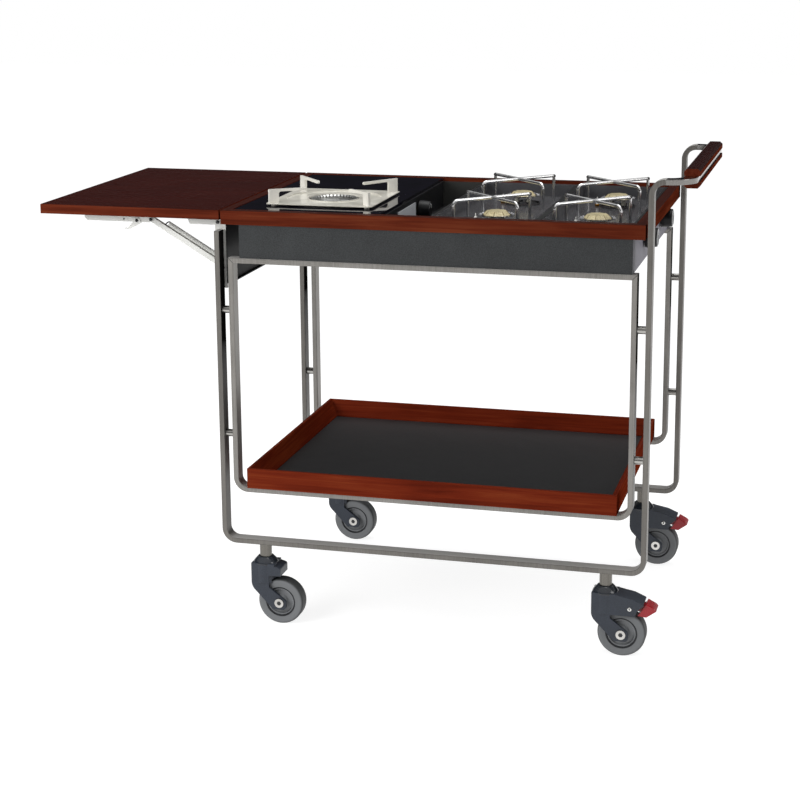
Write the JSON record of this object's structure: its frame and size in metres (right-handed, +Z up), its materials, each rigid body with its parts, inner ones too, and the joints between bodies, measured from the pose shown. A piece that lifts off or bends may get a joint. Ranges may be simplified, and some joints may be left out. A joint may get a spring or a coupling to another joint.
{
  "type": "flambe trolley",
  "caption": "Restaurant serving cart with a gas hob and small burners under a wooden edge, a tray shelf, a drop leaf on folding brackets, a push handle and braked casters.",
  "frame": {"origin": "centre of the footprint of the whole trolley, on the floor", "axes": "+X along the table towards the push handle, +Y across it towards the back, +Z up"},
  "size_m": [1.389, 0.617, 1.0046],
  "materials": {
    "steel_bar": "brushed",
    "handle_steel": "brushed",
    "mahogany": "satin lacquer",
    "tray_wood": "satin lacquer",
    "black_board": "satin laminate",
    "charcoal_paint": "powder coat",
    "black_paint": "satin",
    "white_paint": "satin",
    "black_glass": "polished",
    "ivory_enamel": "gloss enamel",
    "burner_metal": "cast",
    "dark_steel": "brushed",
    "brass": "satin",
    "wire": "polished",
    "knob_black": "satin",
    "plate_grey": "satin",
    "caster_grey": "moulded",
    "zinc": "bright zinc",
    "hub_grey": "moulded",
    "tyre_grey": "matte",
    "pedal_red": "moulded"
  },
  "bodies": {
    "trolley": {"front_outer_frame": "steel_bar", "rear_outer_frame": "steel_bar", "front_inner_loop": "steel_bar", "rear_inner_loop": "steel_bar", "frame_spacers": "steel_bar", "handle_bar": "handle_steel", "top_long_rails": "mahogany", "top_end_rails": "mahogany", "grip_upper": "mahogany", "grip_lower": "mahogany", "tray_rails": "tray_wood", "tray_panel": "black_board", "gas_box": "charcoal_paint", "end_plate": "black_paint", "top_deck": "black_paint", "bracket_posts": "white_paint", "hob_glass": "black_glass", "burner_ring": "burner_metal", "burner_cap": "burner_metal", "burner_tray_left": "dark_steel", "burner_tray_right": "dark_steel", "gas_taps": "brass", "burner_left_front": "brass", "burner_left_rear": "brass", "burner_right_front": "brass", "burner_right_rear": "brass", "control_plate": "plate_grey", "caster_stems": "zinc"},
    "leaf": {"leaf_top": "mahogany", "bracket_arms": "white_paint"},
    "struts": {"bracket_struts": "white_paint"},
    "lever_front": {"bracket_lever_front": "white_paint"},
    "lever_rear": {"bracket_lever_rear": "white_paint"},
    "pan_support": {"drip_plate": "ivory_enamel", "pan_prongs": "ivory_enamel"},
    "trivet_left_front": {"trivet_left_front": "wire"},
    "trivet_left_rear": {"trivet_left_rear": "wire"},
    "trivet_right_front": {"trivet_right_front": "wire"},
    "trivet_right_rear": {"trivet_right_rear": "wire"},
    "end_knob_front": {"end_knob_front": "knob_black"},
    "end_knob_rear": {"end_knob_rear": "knob_black"},
    "hob_knob": {"hob_knob": "knob_black"},
    "caster_front_left": {"fork_front_left": "caster_grey", "axle_front_left": "zinc"},
    "wheel_front_left": {"hub_front_left": "hub_grey", "tyre_front_left": "tyre_grey"},
    "caster_front_right": {"fork_front_right": "caster_grey", "axle_front_right": "zinc"},
    "wheel_front_right": {"hub_front_right": "hub_grey", "tyre_front_right": "tyre_grey"},
    "brake_front_right": {"pedal_front_right": "pedal_red"},
    "caster_rear_left": {"fork_rear_left": "caster_grey", "axle_rear_left": "zinc"},
    "wheel_rear_left": {"hub_rear_left": "hub_grey", "tyre_rear_left": "tyre_grey"},
    "caster_rear_right": {"fork_rear_right": "caster_grey", "axle_rear_right": "zinc"},
    "wheel_rear_right": {"hub_rear_right": "hub_grey", "tyre_rear_right": "tyre_grey"},
    "brake_rear_right": {"pedal_rear_right": "pedal_red"}
  },
  "joints": [
    {"name": "leaf_fold", "type": "hinge", "parent": "trolley", "child": "leaf", "pos_m": [-0.3045, 0, 0.8693], "axis": [0, -1, 0], "range_deg": [0, 90]},
    {"name": "strut_fold", "type": "hinge", "parent": "trolley", "child": "struts", "pos_m": [-0.2945, 0, 0.7729], "axis": [0, -1, 0], "range_deg": [0, 121.26]},
    {"name": "pan_support_lift", "type": "slide", "parent": "trolley", "child": "pan_support", "axis": [0, 0, 1], "range_m": [0, 0.1]},
    {"name": "lever_front_press", "type": "hinge", "parent": "leaf", "child": "lever_front", "pos_m": [-0.4875, -0.2623, 0.8663], "axis": [0, 1, 0], "range_deg": [0, 20], "stiffness_Nm_per_rad": 0.3},
    {"name": "lever_rear_press", "type": "hinge", "parent": "leaf", "child": "lever_rear", "pos_m": [-0.4875, 0.2623, 0.8663], "axis": [0, 1, 0], "range_deg": [0, 20], "stiffness_Nm_per_rad": 0.3},
    {"name": "trivet_left_front_lift", "type": "slide", "parent": "trolley", "child": "trivet_left_front", "axis": [0, 0, 1], "range_m": [0, 0.1]},
    {"name": "trivet_left_rear_lift", "type": "slide", "parent": "trolley", "child": "trivet_left_rear", "axis": [0, 0, 1], "range_m": [0, 0.1]},
    {"name": "trivet_right_front_lift", "type": "slide", "parent": "trolley", "child": "trivet_right_front", "axis": [0, 0, 1], "range_m": [0, 0.1]},
    {"name": "trivet_right_rear_lift", "type": "slide", "parent": "trolley", "child": "trivet_right_rear", "axis": [0, 0, 1], "range_m": [0, 0.1]},
    {"name": "end_knob_front_turn", "type": "hinge", "parent": "trolley", "child": "end_knob_front", "pos_m": [0.5735, -0.129, 0.848], "axis": [1, 0, 0], "range_deg": [0, 180]},
    {"name": "end_knob_rear_turn", "type": "hinge", "parent": "trolley", "child": "end_knob_rear", "pos_m": [0.5735, 0.129, 0.848], "axis": [1, 0, 0], "range_deg": [0, 180]},
    {"name": "hob_knob_turn", "type": "hinge", "parent": "trolley", "child": "hob_knob", "pos_m": [0.0535, 0.039, 0.861], "axis": [1, 0, 0], "range_deg": [0, 180]},
    {"name": "caster_front_left_swivel", "type": "hinge", "parent": "trolley", "child": "caster_front_left", "pos_m": [-0.2085, -0.2815, 0.143], "axis": [0, 0, 1], "continuous": true},
    {"name": "wheel_front_left_spin", "type": "hinge", "parent": "caster_front_left", "child": "wheel_front_left", "pos_m": [-0.1725, -0.2815, 0.05], "axis": [0, 1, 0], "continuous": true},
    {"name": "caster_front_right_swivel", "type": "hinge", "parent": "trolley", "child": "caster_front_right", "pos_m": [0.5295, -0.2815, 0.143], "axis": [0, 0, 1], "continuous": true},
    {"name": "wheel_front_right_spin", "type": "hinge", "parent": "caster_front_right", "child": "wheel_front_right", "pos_m": [0.5655, -0.2815, 0.05], "axis": [0, 1, 0], "continuous": true},
    {"name": "brake_front_right_press", "type": "hinge", "parent": "caster_front_right", "child": "brake_front_right", "pos_m": [0.5825, -0.2815, 0.1065], "axis": [0, 1, 0], "range_deg": [0, 8]},
    {"name": "caster_rear_left_swivel", "type": "hinge", "parent": "trolley", "child": "caster_rear_left", "pos_m": [-0.2085, 0.2815, 0.143], "axis": [0, 0, 1], "continuous": true},
    {"name": "wheel_rear_left_spin", "type": "hinge", "parent": "caster_rear_left", "child": "wheel_rear_left", "pos_m": [-0.1725, 0.2815, 0.05], "axis": [0, 1, 0], "continuous": true},
    {"name": "caster_rear_right_swivel", "type": "hinge", "parent": "trolley", "child": "caster_rear_right", "pos_m": [0.5295, 0.2815, 0.143], "axis": [0, 0, 1], "continuous": true},
    {"name": "wheel_rear_right_spin", "type": "hinge", "parent": "caster_rear_right", "child": "wheel_rear_right", "pos_m": [0.5655, 0.2815, 0.05], "axis": [0, 1, 0], "continuous": true},
    {"name": "brake_rear_right_press", "type": "hinge", "parent": "caster_rear_right", "child": "brake_rear_right", "pos_m": [0.5825, 0.2815, 0.1065], "axis": [0, 1, 0], "range_deg": [0, 8]}
  ],
  "couplings": [
    {"joint": "strut_fold", "follows": "leaf_fold", "ratio": 1.3417}
  ]
}
